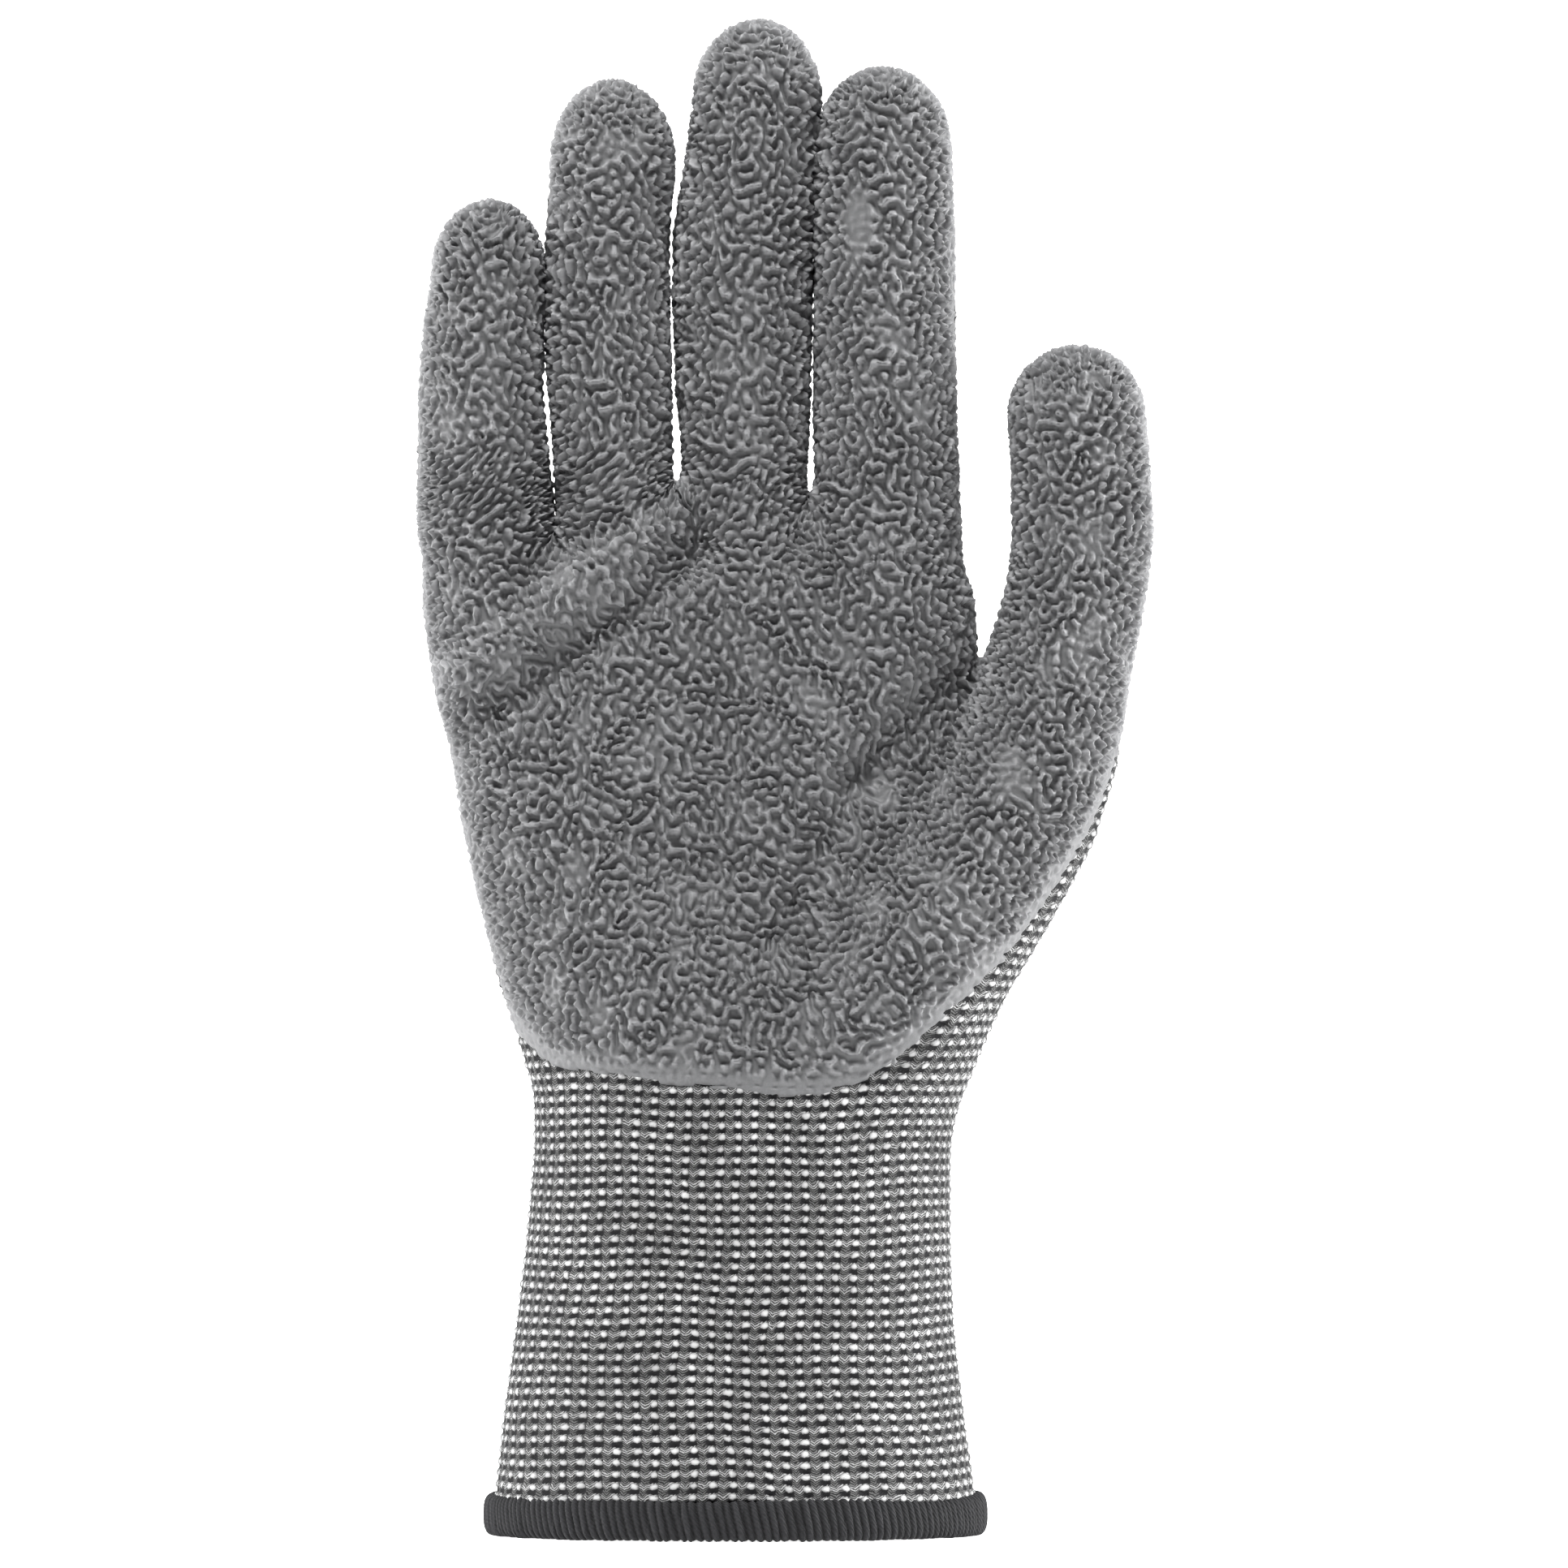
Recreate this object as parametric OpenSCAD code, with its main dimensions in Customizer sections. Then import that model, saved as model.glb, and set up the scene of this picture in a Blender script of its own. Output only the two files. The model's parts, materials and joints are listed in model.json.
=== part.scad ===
// Cut resistant work glove for the right hand, filled out as when worn.
// Fingers point up (+Z), the palm faces -Y and the thumb is on +X. The glove stands on its hem,
// and the origin is at the bottom centre of the whole glove.
// The knitted liner and the latex coat are divided where the worn glove bends.

/* [Fingers] */
// Width of the index finger
index_w = 23.2; // [18:0.1:28]
// Width of the middle finger
middle_w = 23.0; // [18:0.1:28]
// Width of the ring finger
ring_w = 20.8; // [17:0.1:26]
// Width of the little finger
little_w = 20.4; // [16:0.1:25]
// Width of the thumb
thumb_w = 23.0; // [19:0.1:28]
// Length of the index finger above its crotch
index_l = 70; // [58:1:84]
// Length of the middle finger above its crotch
middle_l = 76; // [62:1:90]
// Length of the ring finger above its crotch
ring_l = 66; // [55:1:80]
// Length of the little finger above its crotch
little_l = 54; // [44:1:66]
// Length of the thumb above its crotch
thumb_l = 54; // [45:1:66]
// Gap between fingers that lie side by side
finger_gap = 0.4; // [0.3:0.1:3]
// Gap between the index finger and the thumb
thumb_gap = 9; // [6:0.5:14]
// Thickness of a finger as a share of its width
finger_flat = 0.86; // [0.75:0.01:0.95]
// How far the middle finger is set back from the others
middle_set_back = 1.5; // [0:0.1:3]

/* [Hand] */
// Height of the highest finger crotch above the hem's lower edge
crotch_z = 174; // [150:1:200]
// Drop of the index finger's crotch below the highest
index_drop = 2; // [0:1:6]
// Drop of the little finger's crotch below the highest
little_drop = 8; // [4:1:12]
// Drop of the thumb's crotch below the highest
thumb_drop = 32; // [26:1:38]
// Thickness of the hand at the knuckles
knuckle_d = 28; // [24:1:34]
// Thickness of the hand at the heel of the palm
heel_d = 40; // [36:1:46]

/* [Cuff] */
// Height of the wrist's crease above the hem's lower edge
wrist_z = 60; // [52:1:70]
// Width of the glove at the wrist
wrist_w = 67.5; // [58:0.5:80]
// Thickness of the glove at the wrist
wrist_d = 45; // [38:0.5:52]
// Width of the cuff just above the hem
cuff_w = 77.5; // [66:0.5:92]
// Thickness of the cuff just above the hem
cuff_d = 49; // [42:0.5:58]
// Height of the overlocked hem
hem_h = 7; // [5:0.5:10]
// How far the overlocked hem stands out from the cuff
hem_t = 2.9; // [2:0.1:4]
// Turns of elastic yarn in the cuff
elastic_turns = 7; // [3:1:10]
// Width of one turn of elastic yarn
elastic_t = 0.8; // [0.5:0.1:1.2]

/* [Materials] */
// Thickness of the knitted liner
knit_t = 1.2; // [0.9:0.1:1.8]
// Thickness of the latex coat
coat_t = 0.8; // [0.5:0.1:1.2]

/* [Movement] */
// Bend of a finger at its knuckle, in degrees
knuckle_bend = 75; // [40:1:80]
// Bend of a finger at its middle joint, in degrees
mid_bend = 85; // [40:1:90]
// Bend of a finger at its end joint, in degrees
end_bend = 51; // [30:1:55]
// Bend of the thumb at its knuckle, in degrees
thumb_bend = 50; // [30:1:55]
// Bend of the thumb at its end joint, in degrees
thumb_end_bend = 60; // [30:1:70]
// Turn of the thumb's hinges towards the palm, in degrees
thumb_turn = 30; // [0:1:40]
// Bend of the hand at the wrist, each way, in degrees
wrist_bend = 40; // [20:1:45]
// Clearance across each bend
bend_gap = 0.5; // [0.4:0.1:1]

/* [Hidden] */

knit_colour = [0.52, 0.53, 0.55];
coat_colour = [0.42, 0.43, 0.45];
thread_colour = [0.06, 0.06, 0.07];
elastic_colour = [0.85, 0.85, 0.83];

// the coat lies on the liner with this much air, so the two solids never share volume
skin_air = 0.03;
coat_out = coat_t + skin_air;
side_n = 18;                // corners of a finger's section
step_a = 360 / side_n;
coat_half = 5;              // steps of the coat round each side of a finger
bend_spare = 2;             // degrees to spare between two lengths at full bend

// ---- places of the fingers, from the thumb side of the hand to the little finger's side ----
widths = [index_w, middle_w, ring_w, little_w];
lengths = [index_l, middle_l, ring_l, little_l];
drops = [index_drop, 0, 0, little_drop];
hand_w = index_w + middle_w + ring_w + little_w + 3 * finger_gap;
total_w = hand_w + thumb_gap + thumb_w;
hand_right = hand_w - total_w / 2;      // thumb side of the index finger
hand_left = -total_w / 2;

function before(i) = i == 0 ? 0 : widths[i - 1] + finger_gap + before(i - 1);
function finger_x(i) = hand_right - before(i) - widths[i] / 2;
function finger_y(i) = i == 1 ? middle_set_back : 0;
function finger_crotch(i) = crotch_z - drops[i];

thumb_x = total_w / 2 - thumb_w / 2;
thumb_crotch = crotch_z - thumb_drop;
thumb_lean = 4;             // the thumb's root leans this far towards the hand
thumb_y = -2;

// A digit is [x, y, width, crotch height, length, lean of its root]
function digit(i) = i < 4
    ? [finger_x(i), finger_y(i), widths[i] - 2 * coat_out, finger_crotch(i), lengths[i], 0]
    : [thumb_x, thumb_y, thumb_w - 2 * coat_out, thumb_crotch, thumb_l, thumb_lean];

// ---- hinge heights: each joint's share of the digit's length above its crotch ----
knuckle_up = 3;
mid_share = 0.36;
end_share = 0.68;
thumb_end_share = 0.47;
hinge_fore = 3;             // a hinge lies this far towards the palm from mid-thickness
function knuckle_z(d) = d[3] + knuckle_up;
function mid_z(d) = d[3] + d[4] * mid_share;
function end_z(d) = d[3] + d[4] * end_share;
function thumb_end_z(d) = d[3] + d[4] * thumb_end_share;
function tip_z(d) = d[3] + d[4] - coat_out;

// ---- shape of a digit: its width at each height, and its domed tip ----
dome_share = 0.52;          // height of the domed tip as a share of the width
taper_from = 0.4;           // a digit keeps its full width up to this share of its length
taper = 0.12;               // and has lost this share of its width at the tip
taper_curve = 1.3;
function body_share(d, z) =
    let (u = (z - d[3]) / d[4] - taper_from)
    u < 0 ? 1 : 1 - taper * pow(u / (1 - taper_from), taper_curve);
function dome_z(d) = tip_z(d) - d[2] * dome_share;
function width_at(d, z) =
    let (full = d[2] * body_share(d, z), dome = dome_z(d))
    z <= dome ? full : full * sqrt(max(0, 1 - pow((z - dome) / (tip_z(d) - dome), 2)));
function lean_at(d, z) = -d[5] * max(0, 1 - (z - d[3]) / (d[4] * thumb_end_share));

// ---- a hinge is [y, z, bend, turn, x]; its cuts lie this high at a point ----
function towards_palm(h, x, y) = -(x - h[4]) * sin(h[3]) - (y - h[0]) * cos(h[3]);
function cut_below(h, x, y) =
    h[1] - bend_gap / 2 - max(0, towards_palm(h, x, y)) * tan(h[2] / 2 + bend_spare);
function cut_above(h, x, y) =
    h[1] + bend_gap / 2 + max(0, towards_palm(h, x, y)) * tan(h[2] / 2 + bend_spare);
function hinge(d, z, bend, turn = 0) = [d[1] - hinge_fore, z, bend, turn, d[0] + lean_at(d, z)];

// ---- one row of a digit's skin: points round it, out from the liner's outside ----
least_w = 0.2;              // a row never closes to less than this
function row(d, z, out, angles, low_hinge, high_hinge) = [
    for (a = angles)
        let (
            w = max(least_w, width_at(d, z) + 2 * out),
            x = d[0] + lean_at(d, z) + w / 2 * sin(a),
            y = d[1] - w * finger_flat / 2 * cos(a),
            zl = is_undef(low_hinge) ? z : max(z, cut_above(low_hinge, x, y)),
            zh = is_undef(high_hinge) ? zl : min(zl, cut_below(high_hinge, x, y))
        )
        [x, y, zh]
];

// Faces that join rows of points into a closed skin. Rows run up the outside and down the
// inside. A row in poles is a single point. Open rows leave two long edges, which are closed.
function skin_faces(rows, m, poles, open) =
    let (
        at = function (i, k) let (r = k % rows) r * m + (len(search(r, poles)) > 0 ? 0 : i % m),
        across = open ? m - 2 : m - 1,
        quads = concat(
            [for (k = [0 : rows - 1], i = [0 : across])
                [at(i, k), at(i, k + 1), at(i + 1, k + 1), at(i + 1, k)]],
            open ? [for (k = [0 : rows / 2 - 2])
                [at(0, k), at(0, rows - 1 - k), at(0, rows - 2 - k), at(0, k + 1)]] : [],
            open ? [for (k = [0 : rows / 2 - 2])
                [at(m - 1, k), at(m - 1, k + 1), at(m - 1, rows - 2 - k), at(m - 1, rows - 1 - k)]] : []
        ),
        thirds = [for (q = quads) each [[q[0], q[1], q[2]], [q[0], q[2], q[3]]]]
    )
    [for (t = thirds) if (t[0] != t[1] && t[1] != t[2] && t[2] != t[0]) t];

round_angles = [for (i = [0 : side_n - 1]) i * step_a];
coat_angles = [for (i = [-coat_half : coat_half]) i * step_a];

// A length of a digit between two hinges, as a skin from in_t inside the liner's face to out_t
// outside it. With no upper hinge it closes over the fingertip, in rows at the dome's angles.
dome_angles = [25, 48, 68, 82];
module length_skin(d, in_t, out_t, angles, low_hinge, high_hinge) {
    open = len(angles) < side_n;
    tip = is_undef(high_hinge);
    low = low_hinge[1];
    body_steps = 1;
    body_top = tip ? dome_z(d) : high_hinge[1];
    body = [for (i = [0 : body_steps]) low + (body_top - low) * i / body_steps];
    dome = tip ? [for (a = dome_angles) body_top + (tip_z(d) - body_top) * sin(a)] : [];
    zs = concat(body, dome);
    function side(t) = [for (i = [0 : len(zs) - 1])
        row(d, zs[i], t, angles, i == 0 ? low_hinge : undef,
            !tip && i == len(zs) - 1 ? high_hinge : undef)];
    function lifted(rows, t) = [for (i = [0 : len(rows) - 1])
        let (up = i > body_steps ? t * sin(dome_angles[i - body_steps - 1]) : 0)
        [for (p = rows[i]) [p[0], p[1], p[2] + up]]];
    function pole(t) = [for (a = angles) [d[0] + lean_at(d, tip_z(d)), d[1], tip_z(d) + t]];
    outer = lifted(side(out_t), out_t);
    inner = lifted(side(-in_t), -in_t);
    rows = concat(
        outer,
        tip ? [pole(out_t), pole(-in_t)] : [],
        [for (i = [len(inner) - 1 : -1 : 0]) inner[i]]
    );
    poles = tip ? [len(outer), len(outer) + 1] : [];
    polyhedron([for (r = rows) each r], skin_faces(len(rows), len(angles), poles, open), 10);
}

// ---- the digits' hinges, from the hand outwards ----
function finger_hinges(d) = [
    hinge(d, knuckle_z(d), knuckle_bend),
    hinge(d, mid_z(d), mid_bend),
    hinge(d, end_z(d), end_bend)
];
function thumb_hinges(d) = [
    hinge(d, knuckle_z(d), thumb_bend, thumb_turn),
    hinge(d, thumb_end_z(d), thumb_end_bend, thumb_turn)
];
function hinges(i) = i < 4 ? finger_hinges(digit(i)) : thumb_hinges(digit(i));

// Length j of digit i, as knitted liner or as latex coat
module knit_length(i, j) {
    color(knit_colour)
        length_skin(digit(i), knit_t, 0, round_angles, hinges(i)[j], hinges(i)[j + 1]);
}

module coat_length(i, j) {
    color(coat_colour)
        length_skin(digit(i), -skin_air, coat_out, coat_angles, hinges(i)[j], hinges(i)[j + 1]);
}

// ---- the hand: slices across it, each [x, y, z, width, thickness] ----
waist_in = 20;              // the wrist's side lies this far in from the little finger's side
wrist_x = hand_left + waist_in + wrist_w / 2;
palm_top = crotch_z - little_drop - 5;
knuckle_x = (hand_left + hand_right) / 2;
wrist_run = [-4, 8];        // the wrist keeps its section between these heights about its crease
heel_up = 38;               // height of the thickest part of the heel above the wrist's crease
heel_spread = 8;            // how much wider than the wrist the hand is there
palm_slices = [
    [wrist_x, 0, wrist_z + wrist_run[0], wrist_w + 2 * coat_out, wrist_d + 2 * coat_out],
    [wrist_x, 0, wrist_z + wrist_run[1], wrist_w + 2 * coat_out, wrist_d + 2 * coat_out],
    [wrist_x - 2.5, 0, wrist_z + heel_up, wrist_w + heel_spread, heel_d],
    [knuckle_x + 1.5, 0, thumb_crotch + 2, hand_w - 1, knuckle_d + 3],
    [knuckle_x, 0, palm_top, hand_w, knuckle_d]
];
// The ball of the thumb runs from inside the heel, out and up to the thumb's root
thumb_root_x = thumb_x - thumb_lean;
thumb_slices = [
    [wrist_x + wrist_w / 2 - 15, -1, wrist_z + 10, 27, wrist_d - 14],
    [thumb_root_x - 10, -3, thumb_crotch - 36, thumb_w + 6, heel_d - 8],
    [thumb_root_x - 2, -2, thumb_crotch - 14, thumb_w + 1, knuckle_d - 2],
    [thumb_root_x - 0.3, thumb_y, thumb_crotch - 4, thumb_w, thumb_w * finger_flat]
];
slice_n = 24;

function slice(s, out, lift = 0) = [
    for (i = [0 : slice_n - 1])
        let (a = i * 360 / slice_n)
        [
            s[0] + (s[3] / 2 - coat_out + out) * cos(a),
            s[1] + (s[4] / 2 - coat_out + out) * sin(a),
            s[2] + lift
        ]
];
slab_faces = concat(
    [[for (i = [0 : slice_n - 1]) i]],
    [[for (i = [0 : slice_n - 1]) 2 * slice_n - 1 - i]],
    [for (i = [0 : slice_n - 1])
        [i, slice_n + i, slice_n + (i + 1) % slice_n, (i + 1) % slice_n]]
);

// A smooth run over the slices, out from the liner's outside; its top end moves out as well
module stretch(slices, out) {
    last = len(slices) - 2;
    for (k = [0 : last])
        hull()
            polyhedron(
                concat(slice(slices[k], out), slice(slices[k + 1], out, k == last ? out : 0)),
                slab_faces
            );
}

// The root of a digit, from inside the palm to past its first hinge
root_rise = 12;             // how far a digit's root runs past its crotch
finger_root = 20;           // how deep the root of a finger starts inside the palm
thumb_root = 10;
module digit_root(i, depth, out) {
    d = digit(i);
    top = d[3] + root_rise;
    w = d[2] + 2 * coat_out;
    stretch([
        [d[0] + lean_at(d, d[3]), d[1], d[3] - depth, w, w * finger_flat],
        [d[0] + lean_at(d, d[3]), d[1], d[3], w, w * finger_flat],
        [d[0] + lean_at(d, top), d[1], top, w, w * finger_flat]
    ], out);
}

// The web between two fingers, where the hand's skin closes below the crotch
module web(i, out) {
    a = digit(i);
    b = digit(i + 1);
    x = (a[0] - a[2] / 2 + b[0] + b[2] / 2) / 2;
    z = min(a[3], b[3]);
    stretch([
        [x, 0, z - 12, 12, knuckle_d - 5],
        [x, 0, z - 1, 5, 12]
    ], out);
}

// The whole hand as a solid, out from the liner's outside
module hand_form(out) {
    stretch(palm_slices, out);
    stretch(thumb_slices, out);
    for (i = [0 : 3]) digit_root(i, finger_root, out);
    digit_root(4, thumb_root, out);
}

// What is cut away above a hinge, over one digit's width
module above_hinge(h, w) {
    reach = 40;
    a = h[2] / 2 + bend_spare;
    translate([h[4], h[0], h[1] - bend_gap / 2])
        rotate([0, 0, -h[3]])
            rotate([90, 0, 90])
                linear_extrude(w, center = true)
                    polygon([
                        [0, 0], [reach, 0], [reach, reach],
                        [-reach, reach], [-reach, -reach * tan(a)]
                    ]);
}

module hand_cuts() {
    for (i = [0 : 3])
        intersection() {
            above_hinge(hinges(i)[0], widths[i] + finger_gap);
            translate([hand_left - 5, -40, finger_crotch(i) - 30]) cube([total_w, 80, 80]);
        }
    intersection() {
        above_hinge(hinges(4)[0], thumb_w + 12);
        translate([hand_right + 0.5, -40, thumb_crotch - 12]) cube([60, 80, 60]);
    }
    wrist_cut();
}

// What is cut off the hand's lower end so that it can bend at the wrist, either way
module wrist_cut() {
    reach = 60;
    rise = reach * tan(wrist_bend / 2 + bend_spare);
    translate([0, 0, wrist_z + bend_gap / 2])
        rotate([90, 0, 90])
            linear_extrude(300, center = true)
                polygon([[0, 0], [reach, rise], [reach, -20], [-reach, -20], [-reach, rise]]);
}

module knit_hand() {
    color(knit_colour)
        difference() {
            union() {
                hand_form(0);
                for (i = [0 : 2]) web(i, 0);
            }
            hand_form(-knit_t);
            hand_cuts();
        }
}

// Lower edge of the coat seen from the palm: level over the heel of the hand, then rising
// beside the thumb
coat_low = wrist_z + 15;
module coat_field() {
    rotate([90, 0, 0])
        linear_extrude(60)
            polygon([
                [hand_left - 5, coat_low + 10], [hand_left + 20, coat_low + 3],
                [hand_left + 30, coat_low], [wrist_x + 22, coat_low],
                [thumb_x - 9, thumb_crotch - 37], [thumb_x + 5.4, thumb_crotch - 16.5],
                [total_w, thumb_crotch - 6], [total_w, crotch_z + 20],
                [hand_left - 5, crotch_z + 20]
            ]);
}

module coat_hand() {
    color(coat_colour)
        difference() {
            intersection() {
                union() {
                    hand_form(coat_out);
                    for (i = [0 : 2]) web(i, coat_out);
                }
                translate([0, 2, 0]) coat_field();
            }
            hand_form(skin_air);
            for (i = [0 : 2]) web(i, skin_air);
            hand_cuts();
        }
}

// ---- cuff: an elliptical tube, widest at the hem ----
cuff_n = 24;
cuff_angles = [for (i = [0 : cuff_n - 1]) i * 360 / cuff_n];
hem_x = wrist_x - 1.5;
cuff_low = 1.5;             // the knit's raw edge lies this far up inside the overlock
narrow_z = wrist_z - 14;
cuff_rows = [
    [cuff_low, cuff_w, cuff_d, hem_x],
    [hem_h + 1, cuff_w, cuff_d, hem_x],
    [(hem_h + narrow_z) / 2, (cuff_w + wrist_w) / 2, (cuff_d + wrist_d) / 2, (hem_x + wrist_x) / 2],
    [narrow_z, wrist_w, wrist_d, wrist_x],
    [wrist_z + 5, wrist_w, wrist_d, wrist_x]
];

function cuff_row(r, in_t) = [
    for (a = cuff_angles)
        let (
            x = r[3] + (r[1] / 2 - in_t) * sin(a),
            y = -(r[2] / 2 - in_t) * cos(a),
            top = wrist_z - bend_gap / 2 - abs(y) * tan(wrist_bend / 2 + bend_spare)
        )
        [x, y, min(r[0], top)]
];

module knit_cuff() {
    rows = concat(
        [for (r = cuff_rows) cuff_row(r, 0)],
        [for (i = [len(cuff_rows) - 1 : -1 : 0]) cuff_row(cuff_rows[i], knit_t)]
    );
    color(knit_colour)
        polyhedron([for (r = rows) each r], skin_faces(len(rows), cuff_n, [], false), 10);
}

// A flat oval ring, t wide, with corners enough to look round
oval_n = 48;
function oval(w, d) = [for (i = [0 : oval_n - 1])
    [w / 2 * cos(i * 360 / oval_n), d / 2 * sin(i * 360 / oval_n)]];

module ring_outline(w, d, t) {
    difference() {
        polygon(oval(w, d));
        polygon(oval(w - 2 * t, d - 2 * t));
    }
}

// The black overlock thread round the raw edge of the cuff
module hem_overlock() {
    color(thread_colour)
        translate([hem_x, 0, 0])
            linear_extrude(hem_h)
                ring_outline(cuff_w + 2 * hem_t, cuff_d + 2 * hem_t, hem_t - skin_air);
}

// Turns of covered elastic yarn against the inside of the cuff
module cuff_elastic() {
    first = hem_h + 5;
    last = narrow_z - 4;
    pitch = (last - first) / (elastic_turns - 1);
    for (k = [0 : elastic_turns - 1]) {
        z = first + k * pitch;
        up = (z + elastic_t - hem_h - 1) / (narrow_z - hem_h - 1);
        w = cuff_w + (wrist_w - cuff_w) * up - 2 * knit_t - 1;
        d = cuff_d + (wrist_d - cuff_d) * up - 2 * knit_t - 1;
        x = hem_x + (wrist_x - hem_x) * up;
        color(elastic_colour)
            translate([x, 0, z])
                linear_extrude(elastic_t)
                    ring_outline(w, d, elastic_t);
    }
}

knit_cuff();
cuff_elastic();
hem_overlock();
knit_hand();
coat_hand();
knit_length(0, 0);  // knit_index_lower
knit_length(0, 1);  // knit_index_mid
knit_length(0, 2);  // knit_index_tip
knit_length(1, 0);  // knit_middle_lower
knit_length(1, 1);  // knit_middle_mid
knit_length(1, 2);  // knit_middle_tip
knit_length(2, 0);  // knit_ring_lower
knit_length(2, 1);  // knit_ring_mid
knit_length(2, 2);  // knit_ring_tip
knit_length(3, 0);  // knit_little_lower
knit_length(3, 1);  // knit_little_mid
knit_length(3, 2);  // knit_little_tip
knit_length(4, 0);  // knit_thumb_lower
knit_length(4, 1);  // knit_thumb_tip
coat_length(0, 0);  // coat_index_lower
coat_length(0, 1);  // coat_index_mid
coat_length(0, 2);  // coat_index_tip
coat_length(1, 0);  // coat_middle_lower
coat_length(1, 1);  // coat_middle_mid
coat_length(1, 2);  // coat_middle_tip
coat_length(2, 0);  // coat_ring_lower
coat_length(2, 1);  // coat_ring_mid
coat_length(2, 2);  // coat_ring_tip
coat_length(3, 0);  // coat_little_lower
coat_length(3, 1);  // coat_little_mid
coat_length(3, 2);  // coat_little_tip
coat_length(4, 0);  // coat_thumb_lower
coat_length(4, 1);  // coat_thumb_tip
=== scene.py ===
import json
import math

import bpy
import numpy as np
import openvdb
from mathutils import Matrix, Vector


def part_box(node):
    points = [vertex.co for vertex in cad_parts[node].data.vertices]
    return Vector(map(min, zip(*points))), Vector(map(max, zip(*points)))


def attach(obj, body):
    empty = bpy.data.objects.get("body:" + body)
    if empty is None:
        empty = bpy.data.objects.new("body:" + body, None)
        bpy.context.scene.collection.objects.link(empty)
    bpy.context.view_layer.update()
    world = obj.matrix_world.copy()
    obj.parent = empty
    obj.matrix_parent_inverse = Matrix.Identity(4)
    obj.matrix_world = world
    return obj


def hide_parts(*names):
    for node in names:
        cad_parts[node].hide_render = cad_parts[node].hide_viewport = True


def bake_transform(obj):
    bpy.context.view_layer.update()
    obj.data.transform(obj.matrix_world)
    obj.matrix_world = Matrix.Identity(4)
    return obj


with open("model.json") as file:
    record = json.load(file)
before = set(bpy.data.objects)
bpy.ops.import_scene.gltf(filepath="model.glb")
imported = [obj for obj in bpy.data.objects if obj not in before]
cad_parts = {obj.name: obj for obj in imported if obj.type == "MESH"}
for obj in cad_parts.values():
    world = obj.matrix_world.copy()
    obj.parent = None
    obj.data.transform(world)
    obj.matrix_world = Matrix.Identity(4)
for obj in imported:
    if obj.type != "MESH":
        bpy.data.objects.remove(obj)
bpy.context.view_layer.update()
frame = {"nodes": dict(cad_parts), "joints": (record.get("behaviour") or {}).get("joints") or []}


# ---------------------------------------------------------------------------------------------
# The filled-out glove. A worn knit glove takes the shape of the hand in it: five round digits
# that taper to domed tips, a flat palm with pads at the thumb and little finger, and a cuff
# that narrows to the wrist. The skin is drawn in millimetres and cut into pieces further on.
# ---------------------------------------------------------------------------------------------
MM = 1000.0
FINGERS = ["index", "middle", "ring", "little"]
DIGITS = FINGERS + ["thumb"]
hinge_at = {j["name"]: np.array(j["pos_m"]) * MM for j in frame["joints"]}
wrist_z = hinge_at["wrist"][2]
SKIN_IN = -0.15             # the skin is drawn this far inside the coat's CAD outline
COAT_ROUND = np.sin(np.radians(80))     # the coat's CAD reaches this share of a half width
CROTCH_BELOW = 3            # a knuckle's hinge lies this far above the digit's crotch


def box_mm(node):
    low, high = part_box(node)
    return np.array(low) * MM, np.array(high) * MM


def ease(t, start, end):
    t = np.clip((t - start) / (end - start), 0, 1)
    return t * t * (3 - 2 * t)


def melt(a, b, k):
    """The smaller of two distances, rounded over k where they meet."""
    h = np.clip(0.5 + 0.5 * (b - a) / k, 0, 1)
    return b + (a - b) * h - k * h * (1 - h)


class Limb:
    """A digit or the palm, as ovals up the hand: height, middle, half width, depth, half depth."""

    slice = 0.5             # spacing of the ovals
    blurred = 19            # this many neighbouring ovals are blended into one

    def __init__(self, rows, top, power=2.0):
        rows = np.array(rows)
        self.z = np.arange(rows[0, 0], rows[-1, 0] + self.slice / 2, self.slice)
        blur = np.hanning(self.blurred) / np.hanning(self.blurred).sum()
        self.runs = []
        for k in range(1, 5):
            run = np.interp(self.z, rows[:, 0], rows[:, k])
            self.runs.append(np.convolve(np.pad(run, self.blurred // 2, "edge"), blur, "valid"))
        self.dome = top - rows[-1, 0]
        self.power = power

    def distance(self, x, y, z):
        """Roughly how far a point is outside."""
        on = np.clip(z, self.z[0], self.z[-1])
        mid, half, deep, thick = (np.interp(on, self.z, run) for run in self.runs)
        p = self.power
        a = np.abs(x - mid) / half
        b = np.abs(y - deep) / thick
        c = np.abs(z - on) / self.dome
        rho = np.maximum((a ** p + b ** p + c ** p) ** (1 / p), 1e-3)
        steep = ((a / rho) ** (p - 1) / half) ** 2 + ((b / rho) ** (p - 1) / thick) ** 2
        steep = steep + ((c / rho) ** (p - 1) / self.dome) ** 2
        return np.maximum((rho - 1) / np.sqrt(steep + 1e-9), -np.minimum(half, thick))


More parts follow.
